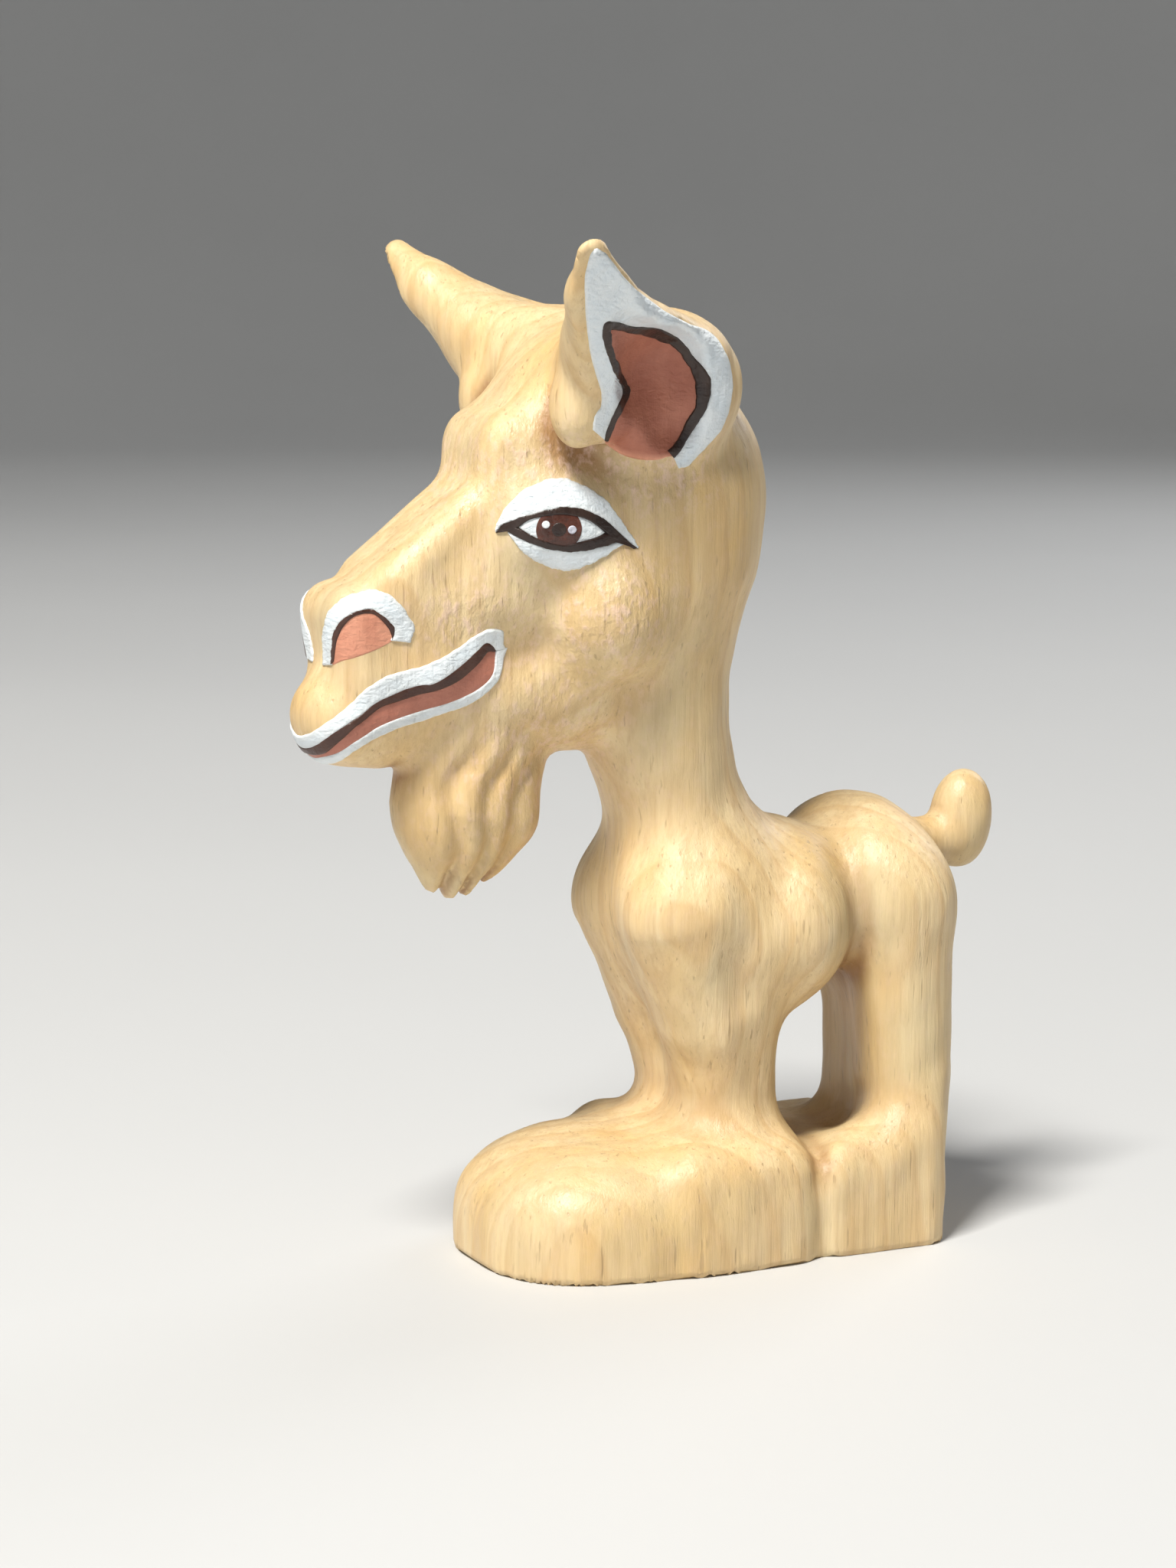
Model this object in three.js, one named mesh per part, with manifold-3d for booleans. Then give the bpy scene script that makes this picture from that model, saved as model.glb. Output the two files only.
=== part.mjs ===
// A small goat carved from one block of pale wood and painted by hand.
// Millimetres, +Z up, the floor at Z = 0, snout toward -Y, the goat's left side toward +X.
// The wood is one closed body; each coat of paint is a thin closed body just off the wood.
import * as THREE from "three";
import Module from "manifold-3d";

const wasm = await Module();
wasm.setup();

// ---- Driving sizes -------------------------------------------------------------------
const EAR_TIP = [20.9, -17.2, 88.6];      // centre of the rounded tip of the left ear
const EAR_TIP_RADIUS = 1.4;
const FOOT_HALF_WIDTH = 12.8;             // front block, swollen sides
const HEEL_HALF_WIDTH = 12.4;             // rear block
const FOOT_FRONT = -19.2;                 // toe of the front block
const HEEL_BACK = 22.3;                   // back face of the rear block
const FORELEG_HALF = [7.4, 4.2];          // half width and half depth of the front pillar
const HINDLEG_HALF = [8.6, 1.9];          // half width and half depth of the rear pillar
const CELL = 1.95;                        // spacing of the facets of the carved surface
const PAINT_GAP = 0.32;                   // air between the wood and the paint
const PAINT = 0.4;                        // thickness of a coat
const EYE = [-14.9, 65.5];                // middle of the iris, in Y and Z
const IRIS_RADIUS = 1.8;
const PUPIL_RADIUS = 0.6;
const MUZZLE_AXIS = -23.5;                // Y of the upright line the lips wrap round

// ---- Soft solids: negative inside, positive outside -----------------------------------
function blend(a, b, k) {
  const h = Math.min(Math.max(0.5 + (0.5 * (b - a)) / k, 0), 1);
  return b + (a - b) * h - k * h * (1 - h);
}

function scoop(a, tool, k) {
  return -blend(-a, tool, k);
}

// p seen from `at`, turned by `tilt` degrees nose-down about X and `yaw` degrees about Z
function local(p, at, tilt, yaw) {
  let x = p[0] - at[0];
  let y = p[1] - at[1];
  let z = p[2] - at[2];
  if (yaw) {
    const c = Math.cos((yaw * Math.PI) / 180);
    const s = Math.sin((yaw * Math.PI) / 180);
    [x, y] = [c * x + s * y, c * y - s * x];
  }
  if (tilt) {
    const c = Math.cos((tilt * Math.PI) / 180);
    const s = Math.sin((tilt * Math.PI) / 180);
    [y, z] = [c * y + s * z, c * z - s * y];
  }
  return [x, y, z];
}

function egg(p, at, r, tilt = 0, yaw = 0) {
  const q = local(p, at, tilt, yaw);
  const near = Math.hypot(q[0] / r[0], q[1] / r[1], q[2] / r[2]) + 1e-9;
  const slope = Math.hypot(q[0] / r[0] ** 2, q[1] / r[1] ** 2, q[2] / r[2] ** 2) + 1e-9;
  return (near * (near - 1)) / slope;
}

// a limb from a to b, ra thick at one end and rb at the other, `wide` times wider than deep
function limb(p, a, b, ra, rb, wide = 1) {
  const u = [(b[0] - a[0]) / wide, b[1] - a[1], b[2] - a[2]];
  const v = [(p[0] - a[0]) / wide, p[1] - a[1], p[2] - a[2]];
  const t = (v[0] * u[0] + v[1] * u[1] + v[2] * u[2]) / (u[0] ** 2 + u[1] ** 2 + u[2] ** 2);
  const h = Math.min(Math.max(t, 0), 1);
  const away = Math.hypot(v[0] - u[0] * h, v[1] - u[1] * h, v[2] - u[2] * h);
  return (away - ra - (rb - ra) * h) * Math.min(1, (1 + wide) / 2);
}

function slab(p, at, half, r, tilt = 0) {
  const q = local(p, at, tilt, 0);
  const d = q.map((v, i) => Math.abs(v) - (half[i] - r));
  const out = Math.hypot(Math.max(d[0], 0), Math.max(d[1], 0), Math.max(d[2], 0));
  return out + Math.min(Math.max(d[0], d[1], d[2]), 0) - r;
}

// a box with swelling faces and soft edges
function pillow(p, at, r, n) {
  const q = p.map((v, i) => Math.abs((v - at[i]) / r[i]));
  const a = (q[0] ** n + q[1] ** n + q[2] ** n + 1e-9) ** (1 / n);
  const slope = Math.hypot(...q.map((v, i) => v ** (n - 1) / r[i])) + 1e-9;
  return ((a - 1) * a ** (n - 1)) / slope;
}

// ---- The carving ----------------------------------------------------------------------
function head(p, pair) {
  let d = egg(p, [0, -2.2, 66.8], [9.9, 10.6, 12.8], -4);                 // skull
  d = blend(d, egg(p, [0, -6.6, 77.0], [8.6, 8.8, 6.2], 6), 3);           // poll
  d = blend(d, slab(p, [0, -12.4, 71.8], [7.2, 6.2, 6.4], 3.6, 26), 3);   // forehead
  d = blend(d, slab(p, [0, -19.4, 64.0], [5.8, 10.6, 4.8], 3.2, 38), 4);  // bridge
  d = blend(d, egg(p, [0, -16.4, 60.0], [7.0, 7.6, 6.6], 30), 3);         // side of the face
  d = blend(d, slab(p, [0, -27.4, 56.2], [5.2, 5.6, 5.0], 3.0, 6), 2);    // nose
  d = blend(d, limb(p, [0, -30.4, 49.8], [0, -21.5, 54.2], 4.1, 4.9, 1.2), 2); // lips
  d = blend(d, limb(p, [0, -27.6, 47.8], [0, -11.5, 53.0], 3.0, 7.2, 1.05), 2.5); // jaw
  d = blend(d, egg(pair, [5.8, -8.4, 57.4], [4.4, 6.4, 7.2]), 3);         // cheeks
  d = blend(d, egg(pair, [5.6, -13.4, 65.6], [4.0, 6.0, 4.8]), 3);        // eye swells
  d = blend(d, limb(p, [0, -1.8, 60.0], [0, -1.3, 46.0], 8.2, 5.5, 1.1), 3);
  return blend(d, limb(p, [0, -1.3, 47.0], [0, 1.6, 35.0], 5.4, 6.8, 1.15), 3);
}

function ear(p) {
  const bend = [18.0, -15.6, 85.4];
  const root = [12.5, -12.2, 81.2];
  let d = limb(p, EAR_TIP, bend, EAR_TIP_RADIUS, 2.6);
  d = blend(d, limb(p, bend, root, 2.6, 3.9), 1);
  d = blend(d, limb(p, root, [5.0, -8.0, 78.6], 3.9, 5.4), 1);
  d = blend(d, egg(p, [7.6, -4.6, 76.9], [4.2, 7.2, 7.0], 0, -6), 2);
  d = blend(d, limb(p, [16.5, -13.0, 84.6], [9.6, -2.6, 80.0], 1.6, 2.6), 1.5);
  d = blend(d, limb(p, [13.4, -13.4, 80.6], [9.4, -10.8, 74.6], 2.2, 2.2), 2);
  const cup = [14.6, -6.8, 77.6];
  const deep = limb(p, [17.8, -12.6, 82.4], cup, 1.4, 4.9);
  const low = limb(p, cup, [13.2, -5.2, 73.6], 4.9, 3.6);
  return scoop(d, blend(deep, low, 0.5), 0.8);
}

function beard(p) {
  const d = limb(p, [0, -18.6, 46.5], [0, -19.8, 40.5], 6.8, 6.1, 0.68);
  return blend(d, limb(p, [0, -19.8, 40.5], [0, -20.4, 35.2], 5.8, 2.0, 0.72), 2);
}

function trunk(p) {
  let d = egg(p, [0, 2.2, 29.8], [10.4, 7.8, 9.6]);                       // chest
  d = blend(d, egg(p, [0, 9.6, 29.4], [11.2, 8.6, 9.0]), 3);              // ribs
  return blend(d, egg(p, [0, 18.9, 31.8], [10.8, 7.0, 7.7]), 2);          // rump
}

function legs(p, d) {
  const [fw, fd] = FORELEG_HALF;
  const [hw, hd] = HINDLEG_HALF;
  d = blend(d, slab(p, [0, 3.2, 17.0], [fw, fd, 12.0], 3.6), 4);
  return blend(d, slab(p, [0, 21.2, 18.0], [hw, hd, 14.0], 1.8), 3);
}

function feet(p) {
  let fore = pillow(p, [0, FOOT_FRONT + 16.6, 1.2], [FOOT_HALF_WIDTH, 16.6, 9.8], 2.9);
  fore = blend(fore, slab(p, [0, 2.2, 4.0], [12.3, 7.0, 6.4], 3.4), 3);
  let heel = slab(p, [0, HEEL_BACK - 6.4, 1.0], [HEEL_HALF_WIDTH, 6.4, 6.8], 2);
  heel = blend(heel, slab(p, [0, 20.4, 5.0], [11.6, 2.0, 6.6], 1.8), 3);
  return blend(fore, heel, 0.8);
}

function tail(p) {
  const d = limb(p, [0, 23.5, 34.2], [0, 28.4, 34.8], 2.4, 2.4);
  return blend(d, egg(p, [0, 30.2, 36.6], [2.9, 2.9, 4.6], -8), 1);
}

function carving(p) {
  const mirrored = [Math.abs(p[0]), p[1], p[2]];
  const pair = [Math.sqrt(p[0] ** 2 + 0.6), p[1], p[2]];
  let d = head(p, pair);
  d = blend(d, ear(mirrored), 1.5);
  d = blend(d, beard(p), 1.6);
  d = blend(d, trunk(p), 4);
  d = blend(d, egg(pair, [5.6, -1.2, 28.5], [4.8, 4.6, 7.5]), 2);         // shoulders
  d = legs(p, d);
  d = blend(d, feet(p), 3.4);
  return blend(d, tail(p), 1.5);
}

function outward(p) {
  const e = 0.08;
  const g = [0, 1, 2].map((i) => {
    const a = [...p];
    const b = [...p];
    a[i] += e;
    b[i] -= e;
    return carving(a) - carving(b);
  });
  const size = Math.hypot(...g) || 1;
  return g.map((v) => v / size);
}

// ---- Facets: one corner per cell that the surface crosses -----------------------------
function facets(low, high, cell) {
  const count = low.map((v, i) => Math.ceil((high[i] - v) / cell) + 1);
  const at = (i, j, k) => (i * count[1] + j) * count[2] + k;
  const value = new Float64Array(count[0] * count[1] * count[2]);
  for (let i = 0; i < count[0]; i += 1) {
    for (let j = 0; j < count[1]; j += 1) {
      for (let k = 0; k < count[2]; k += 1) {
        const p = [low[0] + i * cell, low[1] + j * cell, low[2] + k * cell];
        value[at(i, j, k)] = carving(p);
      }
    }
  }
  const corners = [];
  const cellOf = new Map();
  const steps = [at(1, 0, 0), at(0, 1, 0), at(0, 0, 1)];
  for (let i = 0; i < count[0] - 1; i += 1) {
    for (let j = 0; j < count[1] - 1; j += 1) {
      for (let k = 0; k < count[2] - 1; k += 1) {
        const sum = [0, 0, 0];
        let crossings = 0;
        for (let axis = 0; axis < 3; axis += 1) {
          for (let side = 0; side < 4; side += 1) {
            const o = [0, 0, 0];
            o[(axis + 1) % 3] = side & 1;
            o[(axis + 2) % 3] = side >> 1;
            const here = at(i + o[0], j + o[1], k + o[2]);
            const a = value[here];
            const b = value[here + steps[axis]];
            if (a < 0 !== b < 0) {
              o[axis] = a / (a - b);
              sum[0] += i + o[0];
              sum[1] += j + o[1];
              sum[2] += k + o[2];
              crossings += 1;
            }
          }
        }
        if (crossings) {
          cellOf.set(at(i, j, k), corners.length);
          corners.push(sum.map((v, n) => low[n] + (v / crossings) * cell));
        }
      }
    }
  }
  const faces = [];
  for (let i = 1; i < count[0] - 1; i += 1) {
    for (let j = 1; j < count[1] - 1; j += 1) {
      for (let k = 1; k < count[2] - 1; k += 1) {
        for (let axis = 0; axis < 3; axis += 1) {
          const here = at(i, j, k);
          const inside = value[here] < 0;
          if (inside !== value[here + steps[axis]] < 0) {
            const u = steps[(axis + 1) % 3];
            const v = steps[(axis + 2) % 3];
            const ring = [here - u - v, here - v, here, here - u].map((n) => cellOf.get(n));
            if (!inside) {
              ring.reverse();
            }
            faces.push(ring);
          }
        }
      }
    }
  }
  return { corners, faces };
}

// slide each corner onto the true surface, so that ridges and hollows keep their depth
function settle(corners, cell) {
  return corners.map((start) => {
    let p = start;
    for (let turn = 0; turn < 4; turn += 1) {
      const n = outward(p);
      const d = Math.max(Math.min(carving(p), 0.3 * cell), -0.3 * cell);
      p = p.map((v, i) => v - d * n[i]);
    }
    return p;
  });
}

function geometryOf(points, triangles) {
  const geometry = new THREE.BufferGeometry();
  geometry.setAttribute("position", new THREE.Float32BufferAttribute(points.flat(), 3));
  geometry.setIndex(triangles.flat());
  geometry.computeVertexNormals();
  return geometry;
}

function solidOf(points, triangles) {
  const mesh = new wasm.Mesh({
    numProp: 3,
    vertProperties: new Float32Array(points.flat()),
    triVerts: new Uint32Array(triangles.flat()),
  });
  return new wasm.Manifold(mesh);
}

function bodyOf(solid) {
  const mesh = solid.getMesh();
  const points = [];
  for (let i = 0; i < mesh.vertProperties.length; i += 3) {
    points.push(Array.from(mesh.vertProperties.slice(i, i + 3)));
  }
  const triangles = [];
  for (let i = 0; i < mesh.triVerts.length; i += 3) {
    triangles.push(Array.from(mesh.triVerts.slice(i, i + 3)));
  }
  return { points, triangles };
}

function woodGeometry() {
  const { corners, faces } = facets([-25.35, -40.0, -7 * CELL], [25.35, 37, 93], CELL);
  const points = settle(corners, CELL);
  const triangles = [];
  const gap = (a, b) => Math.hypot(...points[a].map((v, i) => v - points[b][i]));
  for (const [a, b, c, d] of faces) {
    if (gap(a, c) <= gap(b, d)) {
      triangles.push([a, b, c], [a, c, d]);
    } else {
      triangles.push([b, c, d], [b, d, a]);
    }
  }
  const solid = solidOf(points, triangles);
  const cube = new THREE.BoxGeometry(80, 120, 100);
  cube.translate(0, 0, 50);
  const spots = [];
  const lookup = new Map();
  const ids = Array.from(cube.index.array, (n) => {
    const p = [0, 1, 2].map((i) => cube.attributes.position.array[3 * n + i]);
    const key = p.join(" ");
    if (!lookup.has(key)) {
      lookup.set(key, spots.length);
      spots.push(p);
    }
    return lookup.get(key);
  });
  const above = solidOf(spots, ids);
  const { points: kept, triangles: sides } = bodyOf(solid.intersect(above));
  return geometryOf(kept, sides);
}

// ---- Paint ----------------------------------------------------------------------------
const wood = new THREE.Mesh(woodGeometry(), new THREE.MeshStandardMaterial({ side: THREE.DoubleSide }));
const probe = new THREE.Raycaster();

// the first facet met when coming in level from `start` along `way`, and the way off it
function meet(start, way) {
  probe.set(new THREE.Vector3(...start), new THREE.Vector3(...way));
  const hits = probe.intersectObject(wood);
  if (hits.length === 0) {
    throw new Error(`no wood at ${start}`);
  }
  const p = hits[0].point.toArray();
  const n = outward(p).map((v, i) => v - 0.8 * way[i]);
  const size = Math.hypot(...n);
  return { p, n: n.map((v) => v / size) };
}

// the left side seen straight on: u is Y, v is Z
function onSide(u, v) {
  return meet([32, u, v], [-1, 0, 0]);
}

// the ear seen straight on, standing off the highest wood close by, so no edge cuts the coat
function onEar(u, v) {
  const reach = 0.6;
  let best = [0, u, v];
  for (const [a, b] of [[0, 0], [reach, 0], [-reach, 0], [0, reach], [0, -reach]]) {
    probe.set(new THREE.Vector3(32, u + a, v + b), new THREE.Vector3(-1, 0, 0));
    const hit = probe.intersectObject(wood)[0];
    if (hit && hit.point.x > best[0]) {
      best = [hit.point.x, u, v];
    }
  }
  return { p: best, n: [1, 0, 0] };
}

// round the muzzle: u is the turn in degrees from straight ahead, v is Z
function onMuzzle(u, v) {
  const a = (u * Math.PI) / 180;
  const way = [Math.sin(a), -Math.cos(a), 0];
  return meet([24 * way[0], MUZZLE_AXIS + 24 * way[1], v], [-way[0], -way[1], 0]);
}

function curve(...points) {
  const line = new THREE.SplineCurve(points.map(([u, v]) => new THREE.Vector2(u, v)));
  return (t) => {
    const p = line.getPoint(t);
    return [p.x, p.y];
  };
}

function mix(a, b, t) {
  return [a[0] + (b[0] - a[0]) * t, a[1] + (b[1] - a[1]) * t];
}

// a coat between two edges; `ring` closes it on itself, `lift` stands it on another coat
function coat(place, edge, inner, along, across, { ring = false, lift = 0 } = {}) {
  const rows = ring ? along : along + 1;
  const low = [];
  const high = [];
  for (let i = 0; i < rows; i += 1) {
    for (let j = 0; j <= across; j += 1) {
      const [u, v] = mix(edge(i / along), inner(i / along), j / across);
      const { p, n } = place(u, v);
      low.push(p.map((c, k) => c + n[k] * (PAINT_GAP + lift)));
      high.push(p.map((c, k) => c + n[k] * (PAINT_GAP + lift + PAINT)));
    }
  }
  const points = [...low, ...high];
  const top = low.length;
  const at = (i, j) => (i % rows) * (across + 1) + j;
  const triangles = [];
  const quad = (a, b, c, d) => triangles.push([a, b, c], [a, c, d]);
  for (let i = 0; i < along; i += 1) {
    for (let j = 0; j < across; j += 1) {
      const [a, b, c, d] = [at(i, j), at(i + 1, j), at(i + 1, j + 1), at(i, j + 1)];
      quad(a + top, b + top, c + top, d + top);
      quad(d, c, b, a);
    }
    quad(at(i, 0), at(i + 1, 0), at(i + 1, 0) + top, at(i, 0) + top);
    quad(at(i + 1, across), at(i, across), at(i, across) + top, at(i + 1, across) + top);
  }
  if (!ring) {
    for (let j = 0; j < across; j += 1) {
      quad(at(0, j + 1), at(0, j), at(0, j) + top, at(0, j + 1) + top);
      quad(at(along, j), at(along, j + 1), at(along, j + 1) + top, at(along, j) + top);
    }
  }
  return outsideOut(points, triangles);
}

function disc(place, centre, radius, around, lift) {
  const low = [];
  const high = [];
  const { n } = place(...centre);
  for (let i = 0; i <= around; i += 1) {
    const a = (2 * Math.PI * i) / around;
    const r = i < around ? radius : 0;
    const { p } = place(centre[0] + r * Math.cos(a), centre[1] + r * Math.sin(a));
    low.push(p.map((c, k) => c + n[k] * (PAINT_GAP + lift)));
    high.push(p.map((c, k) => c + n[k] * (PAINT_GAP + lift + PAINT / 2)));
  }
  const top = around + 1;
  const triangles = [];
  for (let i = 0; i < around; i += 1) {
    const next = (i + 1) % around;
    triangles.push([around + top, i + top, next + top], [around, next, i]);
    triangles.push([i, next, next + top], [i, next + top, i + top]);
  }
  return outsideOut([...low, ...high], triangles);
}

// turn the faces round if the body came out inside out
function outsideOut(points, triangles) {
  let volume = 0;
  for (const [a, b, c] of triangles) {
    const [p, q, r] = [points[a], points[b], points[c]];
    volume += p[0] * (q[1] * r[2] - q[2] * r[1]);
    volume += p[1] * (q[2] * r[0] - q[0] * r[2]);
    volume += p[2] * (q[0] * r[1] - q[1] * r[0]);
  }
  return { points, triangles: volume < 0 ? triangles.map(([a, b, c]) => [a, c, b]) : triangles };
}

function mirrored({ points, triangles }) {
  return {
    points: points.map(([x, y, z]) => [-x, y, z]),
    triangles: triangles.map(([a, b, c]) => [a, c, b]),
  };
}

// ---- Colours ---------------------------------------------------------------------------
const WOOD = { color: 0xd9b980, roughness: 0.55, metalness: 0 };
const WHITE = { color: 0xe4e9ec, roughness: 0.45, metalness: 0 };
const BLACK = { color: 0x221613, roughness: 0.4, metalness: 0 };
const BROWN = { color: 0x3b1c14, roughness: 0.4, metalness: 0 };
const PINK = { color: 0xc07258, roughness: 0.55, metalness: 0 };
const IRIS = { color: 0x4a2418, roughness: 0.3, metalness: 0 };
const LIP = { color: 0xb8705a, roughness: 0.5, metalness: 0 };

const group = new THREE.Group();
group.name = "painted_wooden_goat";

function add(name, geometry, look) {
  const mesh = new THREE.Mesh(geometry, new THREE.MeshStandardMaterial(look));
  mesh.name = name;
  group.add(mesh);
}

function pairOf(name, body, look) {
  const twin = mirrored(body);
  add(`left_${name}`, geometryOf(body.points, body.triangles), look);
  add(`right_${name}`, geometryOf(twin.points, twin.triangles), look);
}

function one(name, body, look) {
  add(name, geometryOf(body.points, body.triangles), look);
}

add("wood_carving", wood.geometry, WOOD);

// Ears: a white rim from the front root over the tip to the back lobe, a black line inside
// it, and a pink lining in the hollow. Each edge runs from the front root round to the back.
const rimOuter = curve(
  [-11.9, 73.9], [-13.2, 76.6], [-15.4, 80.0], [-17.2, 85.0], [-17.3, 88.2],
  [-12.6, 85.6], [-6.6, 83.2], [-1.0, 81.4], [1.0, 78.0], [0.2, 74.0], [-3.2, 70.9],
);
const rimInner = curve(
  [-10.8, 73.7], [-11.3, 76.2], [-13.3, 79.0], [-15.4, 83.0], [-15.2, 84.0],
  [-12.2, 83.0], [-7.4, 81.4], [-3.0, 79.6], [-1.2, 77.2], [-1.8, 74.6], [-4.2, 72.2],
);
const lineInner = curve(
  [-9.8, 73.9], [-10.2, 76.2], [-12.2, 78.8], [-13.9, 81.6], [-13.6, 82.2],
  [-11.4, 81.6], [-7.8, 80.2], [-4.2, 78.5], [-2.6, 76.8], [-3.0, 75.0], [-5.0, 73.0],
);
const nudge = (from, to, mm) => (t) => {
  const [a, b] = [from(t), to(t)];
  return mix(a, b, mm / Math.hypot(a[0] - b[0], a[1] - b[1]));
};
pairOf("ear_rim_white", coat(onEar, rimOuter, nudge(rimInner, rimOuter, 0.2), 40, 2), WHITE);
pairOf("ear_line_black", coat(onEar, rimInner, nudge(lineInner, rimInner, 0.2), 36, 1), BLACK);
const liningFront = curve([-9.6, 73.6], [-10.0, 76.2], [-11.9, 78.8], [-13.5, 81.4]);
const liningBack = curve([-5.4, 73.2], [-3.4, 76.0], [-4.6, 78.2], [-8.2, 80.0], [-13.0, 81.6]);
pairOf("ear_lining_pink", coat(onEar, liningFront, liningBack, 9, 5), PINK);

// Eyes, from the front corner to the back corner
const lidTop = curve([-19.5, 65.8], [-17.3, 68.1], [-13.9, 69.5], [-10.6, 67.8], [-7.6, 64.1]);
const lineTop = curve([-20.1, 65.1], [-17.5, 66.8], [-14.5, 67.4], [-10.8, 65.9], [-7.3, 63.3]);
const lineLow = curve([-20.1, 65.1], [-16.8, 64.0], [-13.9, 63.4], [-10.8, 64.0], [-7.3, 63.3]);
const lidLow = curve([-18.7, 64.4], [-17.0, 63.0], [-14.1, 62.0], [-11.4, 62.3], [-9.0, 63.2]);
const openTop = curve([-18.4, 65.4], [-16.9, 66.2], [-14.8, 66.8], [-12.6, 66.2], [-10.4, 65.0]);
const openLow = curve([-18.4, 65.4], [-16.8, 64.6], [-14.8, 64.0], [-12.9, 64.1], [-10.4, 65.0]);
const loop = (upper, lower) => (t) => (t < 0.5 ? upper(2 * t) : lower(2 - 2 * t));
const inset = (from, mm, a = 0, b = 1) => (t) => {
  const p = from(a + (b - a) * t);
  return [p[0], p[1] + mm];
};
pairOf("upper_lid_white", coat(onSide, lidTop, inset(lineTop, 0.2, 0.04, 0.97), 14, 1), WHITE);
const outline = coat(onSide, loop(lineTop, lineLow), loop(openTop, openLow), 28, 1, { ring: true });
pairOf("eye_outline_black", outline, BLACK);
const belowLine = inset(lineLow, -0.2, 0.14, 0.86);
pairOf("lower_lid_white", coat(onSide, belowLine, lidLow, 12, 1), WHITE);

// Inside the outline: the iris between the lids, and the white in front of and behind it
const irisEdge = (sign) => (t) => {
  const y = EYE[0] + IRIS_RADIUS * Math.cos(Math.PI * (1 - t));
  const round = IRIS_RADIUS * Math.sin(Math.PI * t) + 0.05;
  const room = sign > 0 ? 0.9 : 1.0;
  return [y, EYE[1] + sign * Math.min(round, room)];
};
pairOf("iris_brown", coat(onSide, irisEdge(1), irisEdge(-1), 12, 3), IRIS);
const whiteFrontTop = inset(openTop, -0.2, 0.1, 0.19);
const whiteFrontLow = inset(openLow, 0.2, 0.1, 0.19);
pairOf("eye_white_front", coat(onSide, whiteFrontTop, whiteFrontLow, 3, 1), WHITE);
const whiteBackTop = inset(openTop, -0.2, 0.72, 0.92);
const whiteBackLow = inset(openLow, 0.2, 0.72, 0.92);
pairOf("eye_white_back", coat(onSide, whiteBackTop, whiteBackLow, 4, 1), WHITE);
const onIris = PAINT + 0.12;
pairOf("pupil_black", disc(onSide, EYE, PUPIL_RADIUS, 12, onIris), BLACK);
pairOf("highlight_front", disc(onSide, [EYE[0] - 1.1, EYE[1] + 0.3], 0.33, 8, onIris), WHITE);
pairOf("highlight_back", disc(onSide, [EYE[0] + 1.1, EYE[1]], 0.33, 8, onIris), WHITE);

// Nostrils, an arch over a straight foot, in degrees round the muzzle and Z
const archOuter = curve([9, 54.2], [13, 57.6], [23, 59.6], [35, 60.1], [48, 59.4], [60, 57.2]);
const archInner = curve([14, 54.4], [18.5, 56.8], [26, 58.3], [35, 58.8], [43, 58.3], [50, 57.0]);
const lineIn = curve([17, 54.5], [21.5, 56.4], [28, 57.7], [35, 58.1], [41, 57.6], [46, 56.6]);
const foot = curve([19, 54.4], [32, 55.2], [45, 56.0]);
pairOf("nostril_rim_white", coat(onMuzzle, archOuter, archInner, 14, 1), WHITE);
const lineOut = nudge(archInner, lineIn, 0.25);
pairOf("nostril_line_brown", coat(onMuzzle, lineOut, lineIn, 12, 1), BROWN);
pairOf("nostril_pink", coat(onMuzzle, nudge(lineIn, foot, 0.4), foot, 8, 2), PINK);

// Lips, the same from both sides of the muzzle: [turn, Z] on the left, mirrored on the right
function round(...left) {
  const right = left.slice(1).map(([u, v]) => [-u, v]).reverse();
  return curve(...right, ...left);
}
const bandTop = round(
  [0, 48.6], [14, 48.9], [24, 49.9], [35, 51.6], [48, 53.0], [74, 54.2], [108, 55.6], [124, 56.6],
);
const bandLow = round(
  [0, 47.6], [14, 47.9], [27, 49.3], [37, 50.7], [48, 51.9], [74, 53.0], [104, 54.1], [122, 55.7],
);
const mouthLow = round(
  [0, 46.6], [14, 46.9], [27, 48.2], [37, 49.6], [48, 50.9], [74, 52.1], [104, 53.0], [122, 54.4],
);
const lipLow = round(
  [0, 45.9], [14, 46.1], [27, 47.0], [37, 48.2], [48, 49.5], [74, 50.9], [104, 51.9], [122, 53.0],
);
const away = 0.22;
one("lip_band_white", coat(onMuzzle, bandTop, bandLow, 56, 1), WHITE);
one("mouth_line_brown", coat(onMuzzle, inset(bandLow, -away), mouthLow, 56, 1), BROWN);
one("lower_lip_pink", coat(onMuzzle, inset(mouthLow, -away), lipLow, 56, 1), LIP);
const edgeTop = inset(lipLow, -away, 0.03, 0.97);
const edgeLow = inset(lipLow, -away - 0.9, 0.03, 0.97);
one("lower_lip_edge_white", coat(onMuzzle, edgeTop, edgeLow, 50, 1), WHITE);

// Centre the whole goat over the origin, front to back
const size = new THREE.Box3().setFromObject(group);
const middle = size.getCenter(new THREE.Vector3());
for (const mesh of group.children) {
  mesh.geometry.translate(0, -middle.y, 0);
}

export default group;
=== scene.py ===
"""A small goat carved from one block of pale wood and painted by hand.

The carving is worked out as a distance field in millimetres (snout toward -Y, +Z up, the
left side toward +X), turned into a fine mesh, and grained with a solid wood texture. The
paint is laid on it coat over coat.
"""

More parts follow.
